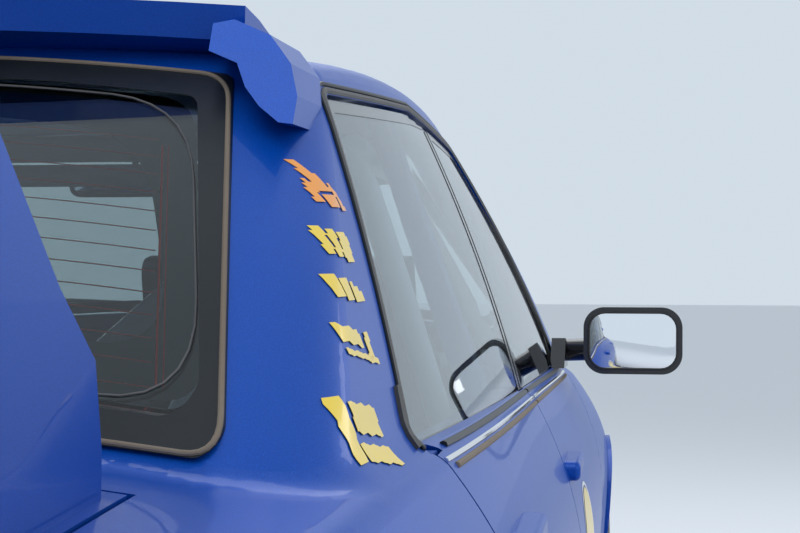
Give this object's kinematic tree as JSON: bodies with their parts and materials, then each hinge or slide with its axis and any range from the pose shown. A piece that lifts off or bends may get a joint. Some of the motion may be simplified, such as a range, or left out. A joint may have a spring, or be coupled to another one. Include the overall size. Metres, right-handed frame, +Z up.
{
  "type": "rally saloon car",
  "caption": "Four-door rally saloon in blue with hollow cabin, hinged doors, bonnet and boot lid with tall wing, steered front wheels and rolling road wheels.",
  "frame": {"origin": "on the ground, under the middle of the car", "axes": "+X to the nose, +Y to the car's left side, +Z up"},
  "size_m": [4.3398, 2, 1.415],
  "materials": {
    "body_blue": "gloss metallic blue",
    "front_structure_blue": "satin blue under the bonnet",
    "side_glass": "tinted",
    "rear_glass": "tinted, heated",
    "seal_rubber": "gloss",
    "trim_black": "fine grain",
    "lamp_clear": "clear lens",
    "lamp_red": "red lens",
    "floor_grey": "underseal",
    "rim_silver": "silver paint",
    "tyre": "matte",
    "running_gear": "black paint",
    "engine_alloy": "cast",
    "exhaust_steel": "satin",
    "flap_rubber": "matte",
    "seat_fabric": "woven",
    "cage_white": "satin"
  },
  "bodies": {
    "shell": {"side_frame_left": "body_blue", "side_frame_right": "body_blue", "roof_panel": "body_blue", "windscreen": "side_glass", "rear_window": "rear_glass", "rear_window_seal": "seal_rubber", "roof_vane": "body_blue", "front_structure": "front_structure_blue", "front_wings": "body_blue", "front_bumper": "body_blue", "rear_bumper": "body_blue", "grille": "trim_black", "headlamps": "lamp_clear", "fog_lamps": "lamp_clear", "tail_lamps": "lamp_red", "floor_pan": "floor_grey", "rear_structure": "body_blue", "front_suspension": "running_gear", "rear_suspension": "running_gear", "engine": "engine_alloy", "exhaust": "exhaust_steel", "mud_flaps": "flap_rubber", "dashboard": "trim_black", "front_seats": "seat_fabric", "roll_cage": "cage_white", "cabin_mirror": "trim_black"},
    "bonnet": {"bonnet": "body_blue"},
    "boot_lid": {"boot_lid": "body_blue", "rear_wing": "body_blue"},
    "steering_wheel": {"steering_wheel": "trim_black"},
    "front_door_left": {"front_door_left": "body_blue", "front_door_glass_left": "side_glass", "mirror_left": "trim_black"},
    "rear_door_left": {"rear_door_left": "body_blue", "rear_door_glass_left": "side_glass"},
    "knuckle_left": {"knuckle_left": "running_gear"},
    "wheel_front_left": {"rim_front_left": "rim_silver", "tyre_front_left": "tyre"},
    "wheel_rear_left": {"rim_rear_left": "rim_silver", "tyre_rear_left": "tyre"},
    "front_door_right": {"front_door_right": "body_blue", "front_door_glass_right": "side_glass", "mirror_right": "trim_black"},
    "rear_door_right": {"rear_door_right": "body_blue", "rear_door_glass_right": "side_glass"},
    "knuckle_right": {"knuckle_right": "running_gear"},
    "wheel_front_right": {"rim_front_right": "rim_silver", "tyre_front_right": "tyre"},
    "wheel_rear_right": {"rim_rear_right": "rim_silver", "tyre_rear_right": "tyre"}
  },
  "joints": [
    {"name": "front_door_left_hinge", "type": "hinge", "parent": "shell", "child": "front_door_left", "pos_m": [0.7505, 0.842, 0.6], "axis": [0, 0, -1], "range_deg": [0, 65]},
    {"name": "rear_door_left_hinge", "type": "hinge", "parent": "shell", "child": "rear_door_left", "pos_m": [-0.2175, 0.842, 0.6], "axis": [0, 0, -1], "range_deg": [0, 65]},
    {"name": "steer_left", "type": "hinge", "parent": "shell", "child": "knuckle_left", "pos_m": [1.332, 0.688, 0.185], "axis": [-0.0386, -0.2299, 0.9725], "range_deg": [-33, 33]},
    {"name": "wheel_front_left_spin", "type": "hinge", "parent": "knuckle_left", "child": "wheel_front_left", "pos_m": [1.33, 0.735, 0.306], "axis": [0, 1, 0], "continuous": true},
    {"name": "wheel_rear_left_spin", "type": "hinge", "parent": "shell", "child": "wheel_rear_left", "pos_m": [-1.19, 0.735, 0.306], "axis": [0, 1, 0], "continuous": true},
    {"name": "front_door_right_hinge", "type": "hinge", "parent": "shell", "child": "front_door_right", "pos_m": [0.7505, -0.842, 0.6], "axis": [0, 0, 1], "range_deg": [0, 65]},
    {"name": "rear_door_right_hinge", "type": "hinge", "parent": "shell", "child": "rear_door_right", "pos_m": [-0.2175, -0.842, 0.6], "axis": [0, 0, 1], "range_deg": [0, 65]},
    {"name": "steer_right", "type": "hinge", "parent": "shell", "child": "knuckle_right", "pos_m": [1.332, -0.688, 0.185], "axis": [-0.0386, 0.2299, 0.9725], "range_deg": [-33, 33]},
    {"name": "wheel_front_right_spin", "type": "hinge", "parent": "knuckle_right", "child": "wheel_front_right", "pos_m": [1.33, -0.735, 0.306], "axis": [0, 1, 0], "continuous": true},
    {"name": "wheel_rear_right_spin", "type": "hinge", "parent": "shell", "child": "wheel_rear_right", "pos_m": [-1.19, -0.735, 0.306], "axis": [0, 1, 0], "continuous": true},
    {"name": "bonnet_hinge", "type": "hinge", "parent": "shell", "child": "bonnet", "pos_m": [0.888, 0, 0.945], "axis": [0, -1, 0], "range_deg": [0, 55]},
    {"name": "boot_lid_hinge", "type": "hinge", "parent": "shell", "child": "boot_lid", "pos_m": [-1.577, 0, 1.008], "axis": [0, 1, 0], "range_deg": [0, 70]},
    {"name": "steering_wheel_turn", "type": "hinge", "parent": "shell", "child": "steering_wheel", "pos_m": [0.33, -0.365, 0.89], "axis": [0.9061, 0, -0.4231], "range_deg": [-495, 495]}
  ],
  "couplings": [
    {"joint": "steer_right", "follows": "steer_left", "ratio": 1},
    {"joint": "steering_wheel_turn", "follows": "steer_left", "ratio": -15}
  ]
}
